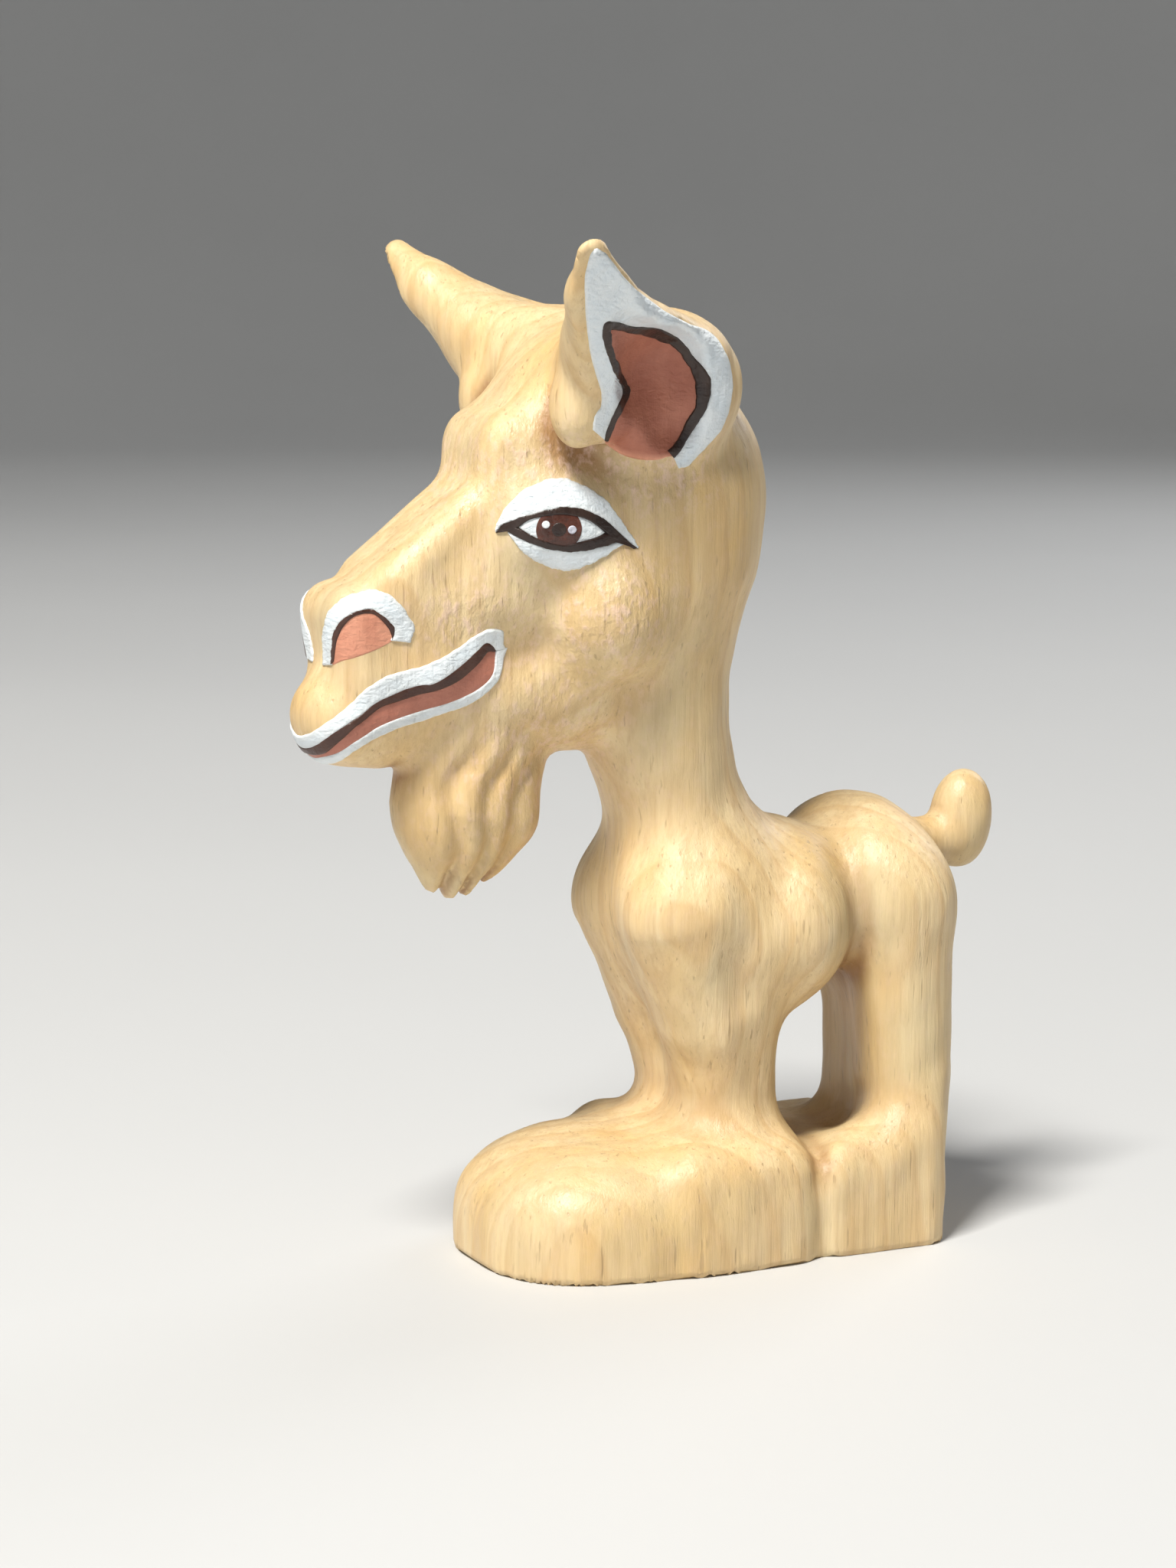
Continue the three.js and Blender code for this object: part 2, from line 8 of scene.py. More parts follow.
import bpy
import mathutils
import numpy as np
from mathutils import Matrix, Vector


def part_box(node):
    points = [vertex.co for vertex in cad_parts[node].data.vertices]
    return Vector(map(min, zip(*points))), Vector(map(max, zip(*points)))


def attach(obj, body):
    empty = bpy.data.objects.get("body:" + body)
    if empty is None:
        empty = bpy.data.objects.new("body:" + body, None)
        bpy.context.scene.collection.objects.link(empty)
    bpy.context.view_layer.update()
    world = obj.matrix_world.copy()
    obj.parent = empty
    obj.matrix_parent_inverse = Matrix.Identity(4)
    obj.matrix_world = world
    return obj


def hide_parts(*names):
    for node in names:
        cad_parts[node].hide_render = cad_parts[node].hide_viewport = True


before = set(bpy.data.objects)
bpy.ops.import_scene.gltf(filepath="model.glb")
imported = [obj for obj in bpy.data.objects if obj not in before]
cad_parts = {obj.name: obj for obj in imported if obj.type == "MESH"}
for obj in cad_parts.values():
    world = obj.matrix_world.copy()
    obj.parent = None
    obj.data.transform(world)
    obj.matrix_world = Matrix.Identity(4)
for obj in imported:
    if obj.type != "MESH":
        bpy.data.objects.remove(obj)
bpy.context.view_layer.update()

# ---- Sizes, in millimetres ------------------------------------------------------------
TAIL_BACK = 33.1                # Y of the back of the tail in the field's own frame
GRID = 0.8                      # spacing of the first mesh; it is halved once after that
EYE = (-15.3, 65.5)             # middle of the iris
MUZZLE_AXIS = -23.5             # Y of the upright line that the lips wrap round

wood_top_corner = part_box("wood_carving")[1]
SHIFT = wood_top_corner[1] * 1000 - TAIL_BACK   # the field's Y plus this is the frame's Y


# ---- Soft solids ----------------------------------------------------------------------
def smin(a, b, k):
    h = np.clip(0.5 + 0.5 * (b - a) / k, 0, 1)
    return b + (a - b) * h - k * h * (1 - h)


def smax(a, b, k):
    return -smin(-a, -b, k)


def turned(p, at, tilt=0.0, yaw=0.0):
    x, y, z = p[0] - at[0], p[1] - at[1], p[2] - at[2]
    if yaw:
        c, s = np.cos(np.radians(yaw)), np.sin(np.radians(yaw))
        x, y = c * x + s * y, c * y - s * x
    if tilt:
        c, s = np.cos(np.radians(tilt)), np.sin(np.radians(tilt))
        y, z = c * y + s * z, c * z - s * y
    return x, y, z


def egg(p, at, r, tilt=0.0, yaw=0.0):
    q = turned(p, at, tilt, yaw)
    near = np.sqrt(sum((q[i] / r[i]) ** 2 for i in range(3))) + 1e-9
    slope = np.sqrt(sum((q[i] / r[i] ** 2) ** 2 for i in range(3))) + 1e-9
    return near * (near - 1) / slope


def limb(p, a, b, ra, rb, wide=1.0):
    u = np.array([(b[0] - a[0]) / wide, b[1] - a[1], b[2] - a[2]], np.float32)
    v = ((p[0] - a[0]) / wide, p[1] - a[1], p[2] - a[2])
    h = np.clip(sum(v[i] * u[i] for i in range(3)) / (u @ u), 0, 1)
    away = np.sqrt(sum((v[i] - u[i] * h) ** 2 for i in range(3)))
    return (away - ra - (rb - ra) * h) * min(1.0, (1 + wide) / 2)


def slab(p, at, half, r, tilt=0.0, yaw=0.0):
    q = turned(p, at, tilt, yaw)
    d = [np.abs(q[i]) - (half[i] - r) for i in range(3)]
    out = np.sqrt(sum(np.maximum(v, 0) ** 2 for v in d))
    return out + np.minimum(np.maximum(np.maximum(d[0], d[1]), d[2]), 0) - r


def pillow(p, at, r, n):
    q = [np.abs((p[i] - at[i]) / r[i]) for i in range(3)]
    a = (sum(v**n for v in q) + 1e-9) ** (1 / n)
    slope = np.sqrt(sum((q[i] ** (n - 1) / r[i]) ** 2 for i in range(3))) + 1e-9
    return (a - 1) * a ** (n - 1) / slope


def step(t, low, high):
    """0 below low, 1 above high, and smooth between them"""
    t = np.clip((t - low) / (high - low), 0, 1)
    return t * t * (3 - 2 * t)


# ---- The carving ----------------------------------------------------------------------
def bell(t, width):
    """1 at the middle, falling off smoothly on both sides"""
    return np.exp(-((t / width) ** 2))


def head(c, s, m):
    d = egg(c, (0, -2.2, 66.8), (9.9, 10.6, 12.8), -4)
    d = smin(d, egg(c, (0, -6.6, 77.0), (8.4, 8.8, 6.2), 6), 2.5)
    d = smin(d, slab(c, (0, -12.3, 71.0), (7.0, 6.2, 6.6), 3.4, 34), 3)
    d = smin(d, slab(c, (0, -19.4, 64.0), (5.6, 10.6, 4.8), 2.4, 38), 3)
    d = smin(d, egg(c, (0, -16.4, 60.0), (7.0, 7.6, 6.6), 30), 3)
    d = smin(d, slab(c, (0, -27.7, 56.2), (5.2, 5.6, 5.0), 2.8, 6), 2)
    d = smin(d, limb(c, (0, -31.2, 49.4), (0, -21.5, 54.0), 4.2, 4.9, 1.2), 1.8)
    d = smin(d, limb(c, (0, -27.6, 47.8), (0, -11.5, 52.6), 3.0, 6.6, 1.05), 2.2)
    d = smin(d, limb(c, (0, -15.5, 51.0), (0, -6.0, 50.6), 5.0, 5.4, 0.9), 2)
    d = smin(d, egg(s, (6.2, -8.6, 58.0), (4.5, 5.6, 6.0)), 2.4)
    d = smin(d, egg(s, (5.6, -13.4, 65.6), (4.0, 6.0, 4.8)), 2.6)
    d = smax(d, -egg(m, (11.4, -15.2, 50.6), (4.0, 3.4, 4.8), 20), 2.2)
    d = smin(d, limb(c, (0, -1.8, 60.0), (0, -1.3, 46.0), 8.2, 5.5, 1.1), 3)
    d = smin(d, egg(m, (9.8, -13.4, 76.0), (2.6, 2.4, 3.8)), 0.7)
    return smin(d, limb(c, (0, -1.3, 47.0), (0, 1.6, 35.0), 5.4, 6.8, 1.15), 3)


def ear(m):
    bend, root = (17.8, -15.2, 85.0), (12.5, -12.0, 80.9)
    d = limb(m, (21.1, -17.1, 88.1), bend, 1.5, 2.7)
    d = smin(d, limb(m, bend, root, 2.7, 3.8), 1)
    d = smin(d, limb(m, root, (5.0, -8.0, 78.4), 3.8, 5.2), 1)
    d = smin(d, egg(m, (7.6, -4.6, 76.9), (4.2, 7.2, 7.0), 0, -6), 2)
    d = smin(d, limb(m, (16.5, -12.7, 84.4), (9.6, -2.6, 80.0), 1.6, 2.6), 1.5)
    d = smin(d, limb(m, (13.2, -12.8, 80.4), (9.6, -10.9, 74.6), 2.0, 2.0), 1.4)
    cup = (14.6, -6.8, 77.6)
    deep = limb(m, (17.8, -12.6, 82.4), cup, 1.4, 4.9)
    low = limb(m, cup, (13.2, -5.2, 73.6), 4.9, 3.6)
    face = 0.84 * m[0] - 0.54 * m[2] + 30.2
    d = smax(d, face, 0.5)
    return smax(d, -smin(deep, low, 0.5), 0.6)


def beard(c):
    x, y, z = c
    d = limb(c, (0, -18.9, 46.5), (0, -20.0, 40.6), 6.5, 5.9, 0.70)
    d = smin(d, limb(c, (0, -20.0, 40.4), (0, -21.0, 35.2), 5.5, 2.2, 0.74), 2)
    d = smin(d, egg(c, (0, -15.6, 40.0), (2.6, 1.7, 2.2)), 1.2)
    half = 6.6 - 0.33 * np.clip(44 - z, 0, 11)
    lean = 0.12 * np.sin(0.62 * z + 0.4) - 0.035 * (z - 40)
    across = (y + 19.9) / half + lean
    depth = 0.8 * step(49.5 - z, 0, 5)
    cuts = bell(across + 0.42, 0.17) + 0.9 * bell(across - 0.12, 0.15) + 0.8 * bell(across - 0.60, 0.15)
    return d + depth * cuts - 0.35 * step(49 - z, 0, 3)


def body(c, m):
    x, y, z = c
    chest = egg(c, (0, 2.2, 30.2), (10.0, 7.6, 9.4))
    ribs = egg(c, (0, 9.3, 29.4), (11.6, 7.0, 8.9), -8)
    rump = egg(c, (0, 18.8, 31.9), (10.4, 7.0, 7.8))
    rump = smin(rump, limb(c, (6.6, 19.8, 29.0), (6.8, 20.6, 16.0), 3.6, 2.8), 3)
    rump = smin(rump, slab(c, (1.7, 20.6, 18.0), (7.7, 2.4, 15.0), 2.1), 6)
    rump = smin(rump, egg(c, (1.6, 21.2, 13.0), (7.2, 2.7, 3.8)), 1.5)
    front = (np.sqrt(x * x + 0.12), y, z)
    breast = limb(front, (5.3, -1.3, 31.0), (4.8, 1.9, 22.5), 5.3, 4.3)
    legs = limb(front, (4.2, 3.2, 21.0), (4.0, 4.0, 10.0), 3.8, 4.1)
    d = smin(chest, smin(breast, legs, 6), 3)
    d = smin(d, ribs, 3.5)
    d = d + 0.6 * bell(y - 1.2 - 0.28 * (27.5 - z), 1.7) * step(m[0], 3, 6) * step(31 - z, 0, 5)
    return smin(d, rump, 2.0)


def base(c):
    x, y, z = c
    fore = pillow(c, (0, -2.6, 1.2), (12.8, 16.6, 9.8), 2.9)
    fore = smin(fore, slab(c, (0, 2.2, 4.0), (12.5, 7.2, 6.6), 3.0), 3)
    heel = slab(c, (0, 15.8, 5.0), (12.5, 6.7, 12.0), 2.4)
    ramp = 0.36 * (y - 9.5) * step(x, 1, 9)
    heel = smax(heel, 0.95 * (z - 9.0 - ramp), 4)
    return smin(fore, heel, 1.2)


def carving(p, fine=True):
    """distance to the wood; m and s are the point mirrored to the left, sharp and soft"""
    x, y, z = p
    m, s, c = (np.abs(x), y, z), (np.sqrt(x * x + 0.6), y, z), (x, y, z)
    d = head(c, s, m)
    d = smin(d, ear(m), 1.4)
    d = smin(d, beard(c), 1.2)
    d = smin(d, body(c, m), 3.4)
    d = smin(d, slab(c, (0, 3.9, 17.0), (6.8, 3.5, 12.0), 3.2), 3)
    d = smin(d, base(c), 3.4)
    tail = limb(c, (0, 23.5, 34.2), (0, 28.4, 34.8), 2.4, 2.4)
    tail = smin(tail, egg(c, (0, 30.2, 36.6), (2.9, 2.9, 4.6), -8), 1)
    d = smin(d, tail, 1.5)
    if fine:
        wobble = np.sin(0.55 * s[0] + 0.9 * y + 1.0) * np.sin(0.42 * z + 0.3 * s[0])
        wobble = wobble + 0.6 * np.sin(1.3 * y - 0.5 * z) * np.sin(1.1 * s[0] + 0.7 * z + 2)
        d = d + 0.07 * wobble
    return smax(d, -z, 0.25) if fine else np.maximum(d, -z)


def outward(f, pts, e=0.06):
    g = np.zeros_like(pts)
    for i in range(3):
        a, b = pts.copy(), pts.copy()
        a[:, i] += e
        b[:, i] -= e
        g[:, i] = f(a.T) - f(b.T)
    return g / np.maximum(np.linalg.norm(g, axis=1, keepdims=True), 1e-9)


# ---- Meshing: one corner per crossed cell, quads across crossed edges -------------------
def mesh_of(f, low, high, cell, block=24):
    low = np.array(low, float)
    n = np.ceil((np.array(high) - low) / cell).astype(int) + 1
    ax = [(low[i] + cell * np.arange(n[i])).astype(np.float32) for i in range(3)]
    v = np.full(n, 9.0, np.float32)
    for i in range(0, n[0], block):
        for j in range(0, n[1], block):
            for k in range(0, n[2], block):
                part = tuple(slice(a, a + block) for a in (i, j, k))
                span = [a[q] for a, q in zip(ax, part)]
                mid = [np.array([(q[0] + q[-1]) / 2]) for q in span]
                reach = 0.5 * np.sqrt(sum((q[-1] - q[0]) ** 2 for q in span))
                if float(f(mid)[0]) > reach * 1.5 + 2:
                    continue
                v[part] = f(np.meshgrid(*span, indexing="ij"))
    solid = v < 0
    cells = np.array(n) - 1
    some, every = np.zeros(cells, bool), np.ones(cells, bool)
    for o in np.ndindex(2, 2, 2):
        q = solid[o[0]:o[0] + cells[0], o[1]:o[1] + cells[1], o[2]:o[2] + cells[2]]
        some |= q
        every &= q
    crossed = some & ~every
    at = np.argwhere(crossed)
    index = np.full(cells, -1, np.int64)
    index[crossed] = np.arange(len(at))
    total, count = np.zeros((len(at), 3)), np.zeros(len(at))
    for a in range(3):
        for o in np.ndindex(2, 2):
            o = list(o)
            o.insert(a, 0)
            e = list(o)
            e[a] = 1
            i0, i1 = at + o, at + e
            v0, v1 = v[tuple(i0.T)], v[tuple(i1.T)]
            hit = (v0 < 0) != (v1 < 0)
            q = i0[hit].astype(float)
            q[:, a] += v0[hit] / (v0[hit] - v1[hit])
            total[hit] += q
            count[hit] += 1
    verts = total / count[:, None] * cell + low
    quads = []
    for a in range(3):
        b, c = (a + 1) % 3, (a + 2) % 3
        here, there = [slice(1, -1)] * 3, [slice(1, -1)] * 3
        here[a], there[a] = slice(0, -1), slice(1, None)
        s0, s1 = solid[tuple(here)], solid[tuple(there)]
        edge = np.argwhere(s0 != s1)
        inside = s0[tuple(edge.T)]
        edge = edge + 1
        edge[:, a] -= 1

        def cell_at(db, dc):
            q = edge.copy()
            q[:, b] -= db
            q[:, c] -= dc
            return index[tuple(q.T)]

        q = np.stack([cell_at(1, 1), cell_at(0, 1), cell_at(0, 0), cell_at(1, 0)], 1)
        q[~inside] = q[~inside][:, ::-1]
        quads.append(q)
    return verts, np.concatenate(quads)


def halved(verts, quads):
    """each quad made four, with new corners at edge and face middles"""
    pairs = np.concatenate([quads[:, [i, (i + 1) % 4]] for i in range(4)])
    keys = np.sort(pairs, 1)
    unique, back = np.unique(keys, axis=0, return_inverse=True)
    back = back.reshape(4, -1)
    n = len(verts)
    mids = verts[unique].mean(1)
    centres = verts[quads].mean(1)
    face = n + len(unique) + np.arange(len(quads))
    out = []
    for i in range(4):
        out.append(np.stack([quads[:, i], n + back[i], face, n + back[i - 1]], 1))
    return np.concatenate([verts, mids, centres]), np.concatenate(out)


def settle(f, pts, limit, turns):
    for _ in range(turns):
        d = np.clip(f(pts.T), -limit, limit)
        pts = pts - outward(f, pts) * d[:, None]
    return pts


# ---- Blender objects --------------------------------------------------------------------
def make(name, verts, faces, node, material):
    verts = np.asarray(verts, np.float64).copy()
    verts[:, 1] += SHIFT
    mesh = bpy.data.meshes.new(name)
    mesh.from_pydata((verts / 1000).tolist(), [], np.asarray(faces).tolist())
    mesh.polygons.foreach_set("use_smooth", [True] * len(mesh.polygons))
    mesh.update()
    obj = bpy.data.objects.new(name, mesh)
    bpy.context.scene.collection.objects.link(obj)
    obj.data.materials.append(material)
    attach(obj, "root")
    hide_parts(node)
    return obj


def value(obj, name, data):
    """a number at every corner, for the material to read"""
    layer = obj.data.attributes.new(name, "FLOAT", "POINT")
    layer.data.foreach_set("value", np.asarray(data, np.float32))


class Nodes:
    """short calls for laying out a material"""

    def __init__(self, name):
        self.material = bpy.data.materials.new(name)
        self.material.use_nodes = True
        self.tree = self.material.node_tree
        self.shader = self.tree.nodes["Principled BSDF"]

    def set(self, socket, val):
        if isinstance(val, bpy.types.NodeSocket):
            self.tree.links.new(val, socket)
        else:
            socket.default_value = val

    def math(self, operation, a, b=0.0, c=0.0):
        node = self.tree.nodes.new("ShaderNodeMath")
        node.operation = operation
        for socket, val in zip(node.inputs, (a, b, c)):
            self.set(socket, val)
        return node.outputs[0]

    def place(self, scale):
        where = self.tree.nodes.new("ShaderNodeTexCoord").outputs["Object"]
        mapping = self.tree.nodes.new("ShaderNodeMapping")
        self.set(mapping.inputs["Vector"], where)
        mapping.inputs["Scale"].default_value = scale
        return mapping.outputs[0]

    def noise(self, scale, detail=3.0, rough=0.55, warp=0.0):
        node = self.tree.nodes.new("ShaderNodeTexNoise")
        self.set(node.inputs["Vector"], self.place(scale))
        node.inputs["Scale"].default_value = 1.0
        node.inputs["Detail"].default_value = detail
        node.inputs["Roughness"].default_value = rough
        node.inputs["Distortion"].default_value = warp
        return node.outputs["Fac"]

    def ramp(self, fac, *stops):
        node = self.tree.nodes.new("ShaderNodeValToRGB")
        self.set(node.inputs["Fac"], fac)
        band = node.color_ramp
        while len(band.elements) < len(stops):
            band.elements.new(0.5)
        for element, (pos, colour) in zip(band.elements, stops):
            element.position = pos
            element.color = (*colour, 1)
        return node.outputs["Color"]

    def mix(self, fac, a, b, mode="MIX"):
        node = self.tree.nodes.new("ShaderNodeMix")
        node.data_type = "RGBA"
        node.blend_type = mode
        self.set(node.inputs[0], fac)
        self.set(node.inputs[6], a if isinstance(a, bpy.types.NodeSocket) else (*a, 1))
        self.set(node.inputs[7], b if isinstance(b, bpy.types.NodeSocket) else (*b, 1))
        return node.outputs[2]

    def attribute(self, name):
        node = self.tree.nodes.new("ShaderNodeAttribute")
        node.attribute_name = name
        return node.outputs["Fac"]

    def range(self, fac, a, b, c, d):
        node = self.tree.nodes.new("ShaderNodeMapRange")
        self.set(node.inputs[0], fac)
        for i, val in enumerate((a, b, c, d)):
            node.inputs[i + 1].default_value = val
        return node.outputs[0]

    def bump(self, height, distance, below=None):
        node = self.tree.nodes.new("ShaderNodeBump")
        node.inputs["Distance"].default_value = distance
        node.inputs["Strength"].default_value = 1.0
        self.set(node.inputs["Height"], height)
        if below is not None:
            self.set(node.inputs["Normal"], below)
        return node.outputs["Normal"]

    def finish(self, colour, roughness, normal=None):
        self.set(self.shader.inputs["Base Color"], colour)
        self.set(self.shader.inputs["Roughness"], roughness)
        if normal is not None:
            self.set(self.shader.inputs["Normal"], normal)
        return self.material


def wood_material():
    n = Nodes("wood")
    # growth rings: distance from a far upright pith, bent a little by slow noise
    where = n.tree.nodes.new("ShaderNodeSeparateXYZ")
    n.set(where.inputs[0], n.place((1000, 1000, 1000)))
    x, y, z = where.outputs
    slow = n.noise((60, 60, 14), 2.0, 0.5)
    dx = n.math("SUBTRACT", x, 46.0)
    dy = n.math("ADD", y, 30.0)
    far = n.math("SQRT", n.math("ADD", n.math("MULTIPLY", dx, dx), n.math("MULTIPLY", dy, dy)))
    tilt = n.math("MULTIPLY_ADD", z, 0.06, far)
    ring = n.math("MULTIPLY_ADD", slow, 9.0, tilt)
    phase = n.math("FRACT", n.math("DIVIDE", ring, 2.6))
    late = n.ramp(phase, (0.0, (0.0,) * 3), (0.55, (0.22,) * 3), (0.9, (1.0,) * 3), (1.0, (0.0,) * 3))
    fibre = n.noise((1500, 1500, 60), 4.0, 0.65)
    coarse = n.noise((420, 420, 16), 2.0, 0.5)
    patch = n.noise((95, 95, 40), 3.0, 0.55)
    base = n.ramp(
        patch, (0.30, (0.78, 0.56, 0.27)), (0.48, (0.80, 0.63, 0.37)), (0.68, (0.74, 0.50, 0.21))
    )
    base = n.mix(n.math("MULTIPLY", late, 0.42), base, (0.60, 0.36, 0.14))
    streak = n.range(coarse, 0.40, 0.66, 0.0, 0.42)
    base = n.mix(streak, base, (0.64, 0.44, 0.21))
    thread = n.range(fibre, 0.45, 0.72, 0.0, 0.55)
    base = n.mix(thread, base, (0.56, 0.37, 0.18))
    pore = n.range(n.noise((2600, 2600, 260), 2.0, 0.5), 0.64, 0.74, 0.0, 0.5)
    base = n.mix(pore, base, (0.34, 0.21, 0.10))
    olive = n.range(n.noise((75, 75, 50), 2.0, 0.5), 0.50, 0.68, 0.0, 0.40)
    base = n.mix(olive, base, (0.60, 0.53, 0.33))
    # painted shade: the wood is darkened towards dark brown where it is closed in, in recesses and
    # creases
    deep = n.attribute("painted_recess_shade")
    base = n.mix(n.math("MULTIPLY", deep, 0.75), base, (0.30, 0.14, 0.05))
    fleck = n.noise((1300, 1300, 900), 3.0, 0.6)
    fuzz = n.math("MULTIPLY", n.attribute("fuzz"), n.range(fleck, 0.48, 0.66, 0, 1))
    base = n.mix(n.math("MULTIPLY", fuzz, 0.55), base, (0.86, 0.62, 0.52))
    grime = n.range(n.noise((260, 260, 120), 5.0, 0.7), 0.56, 0.78, 0.0, 0.25)
    base = n.mix(grime, base, (0.46, 0.37, 0.21))
    rough = n.range(n.noise((500, 500, 60)), 0.3, 0.7, 0.36, 0.55)
    relief = n.bump(n.noise((210, 210, 90), 2.0, 0.5), 0.00028)
    relief = n.bump(coarse, 0.00012, relief)
    relief = n.bump(fibre, 0.00011, relief)
    relief = n.bump(n.math("MULTIPLY", fleck, n.attribute("fuzz")), 0.00022, relief)
    relief = n.bump(pore, -0.00005, relief)
    return n.finish(base, rough, relief)


def paint_material(name, main, tint, rough, thin=None, thin_amount=0.0, ridges=0.00006):
    n = Nodes(name)
    blotch = n.noise((380, 380, 300), 4.0, 0.6)
    colour = n.mix(n.range(blotch, 0.35, 0.7, 0.0, 1.0), main, tint)
    brush = n.noise((700, 1500, 2600), 2.0, 0.5, 0.4)
    colour = n.mix(n.range(brush, 0.55, 0.8, 0.0, 0.25), colour, tuple(0.82 * v for v in main))
    if thin is not None:
        worn = n.math("MULTIPLY", n.attribute("edge"), n.range(blotch, 0.4, 0.6, 0.4, 1.0))
        colour = n.mix(n.math("MULTIPLY", worn, thin_amount), colour, thin)
    gloss = n.range(blotch, 0.3, 0.7, rough - 0.07, rough + 0.07)
    relief = n.bump(n.noise((1500, 1500, 90), 3.0, 0.6), 1.4 * ridges)
    relief = n.bump(brush, 1.6 * ridges, relief)
    relief = n.bump(n.noise((3200, 3200, 3200)), 0.00002, relief)
    return n.finish(colour, gloss, relief)


WOOD = wood_material()
WHITE = paint_material("white", (0.80, 0.85, 0.88), (0.70, 0.78, 0.84), 0.42,
                       (0.72, 0.64, 0.50), 0.25, 0.00010)
BLACK = paint_material("black", (0.022, 0.012, 0.010), (0.050, 0.028, 0.020), 0.38)
BROWN = paint_material("brown", (0.050, 0.018, 0.012), (0.085, 0.035, 0.022), 0.38)
PINK = paint_material("ear_pink", (0.50, 0.185, 0.115), (0.40, 0.13, 0.08), 0.5,
                      (0.86, 0.42, 0.28), 0.9)
NOSTRIL = paint_material("nostril_pink", (0.74, 0.34, 0.22), (0.62, 0.25, 0.16), 0.5)
LIP = paint_material("lip_pink", (0.52, 0.20, 0.135), (0.42, 0.15, 0.10), 0.45)
LILAC = paint_material("lilac", (0.62, 0.62, 0.70), (0.52, 0.52, 0.60), 0.35)
IRIS = paint_material("iris", (0.055, 0.022, 0.016), (0.16, 0.050, 0.032), 0.25)

# ---- The wood ---------------------------------------------------------------------------
def plain(p):
    return carving(p, fine=False)


low_corner, high_corner = (-25, -38, -0.9), (25, 36, 92)
verts, quads = mesh_of(plain, low_corner, high_corner, GRID)
verts = settle(plain, verts, 0.3, 2)
verts, quads = halved(verts, quads)
verts = settle(carving, verts, 0.35, 3)
normals = outward(carving, verts)
wood = make("carved_wood", verts, quads, "wood_carving", WOOD)
# how closed in each point of the wood is; the wood material darkens it there as painted shade
reach = [(1.2, 0.5), (3.0, 0.5)]
open_air = sum(w * np.clip(carving((verts + normals * r).T) / r, 0, 1) for r, w in reach)
value(wood, "painted_recess_shade", np.clip((0.80 - open_air) * 2.2, 0, 1))


def tuft(y, z, wide, high):
    return bell(verts[:, 1] - y, wide) * bell(verts[:, 2] - z, high)


fuzz = tuft(-12, 71.5, 7, 2.6) + tuft(-5, 69.5, 5, 3) + tuft(-10, 59, 5, 5) + tuft(-22, 58, 5, 3)
fuzz = fuzz + 0.8 * tuft(-15, 46, 8, 8) + 0.5 * tuft(-20, 68, 4, 5) + 0.12
value(wood, "fuzz", np.clip(fuzz, 0, 1))


# ---- Paint: sheets between two edges, laid on the wood ------------------------------------
# Where the photograph's camera stood. Ears and eyes are laid on along its lines of sight, so
# that from there they have the outlines seen in the photograph.
PHOTO_CAMERA = np.array([286.1, -141.3, 89.0])
DROP = 4.0      # a coat does not bridge a jump wider than this


def meet(start, way):
    """the first wood met coming in from each start along each way"""
    pts = start.copy()
    for _ in range(90):
        d = carving(pts.T)
        pts = pts + way * (0.7 * d)[:, None]
    return pts


def on_side(u, v):
    """u and v are Y and Z on the upright plane X = 10, seen from the photograph's camera"""
    aim = np.stack([np.full_like(u, 10.0), u, v], 1)
    way = aim - PHOTO_CAMERA
    way /= np.linalg.norm(way, axis=1, keepdims=True)
    return meet(aim - way * 24, way)


def on_muzzle(u, v):
    """u turns in degrees from straight ahead round the muzzle's axis, v is Z"""
    a = np.radians(u)
    out = np.stack([np.sin(a), -np.cos(a), np.zeros_like(a)], 1)
    start = out * 24 + np.stack([0 * a, MUZZLE_AXIS + 0 * a, v], 1)
    return meet(start, -out)


def curve(*points):
    """a smooth line through the points, even in its parameter"""
    p = np.array(points, float)
    n = len(p) - 1
    ends = np.concatenate([[2 * p[0] - p[1]], p, [2 * p[-1] - p[-2]]])

    def at(t):
        w = np.clip(np.asarray(t, float), 0, 1) * n
        i = np.minimum(w.astype(int), n - 1)
        f = (w - i)[:, None]
        a, b, c, d = ends[i], ends[i + 1], ends[i + 2], ends[i + 3]
        return 0.5 * (2 * b + (c - a) * f + (2 * a - 5 * b + 4 * c - d) * f**2
                      + (3 * b - a - 3 * c + d) * f**3)
    return at


def shaky(line, seed, amount=(0.06, 0.06)):
    """the small unsteadiness of a hand-held brush"""
    def at(t):
        t = np.asarray(t, float)
        p = line(t)
        for k, (f, g) in enumerate(((9, 1.0), (23, 0.55), (47, 0.3))):
            turn = 2 * np.pi * f * t
            sway = np.stack([np.sin(turn + seed * 1.7 + k), np.cos(turn + seed + 2 * k)], 1)
            p = p + g * np.array(amount) * sway
        return p
    return at


def part(line, a, b):
    return lambda t: line(a + (b - a) * np.asarray(t, float))


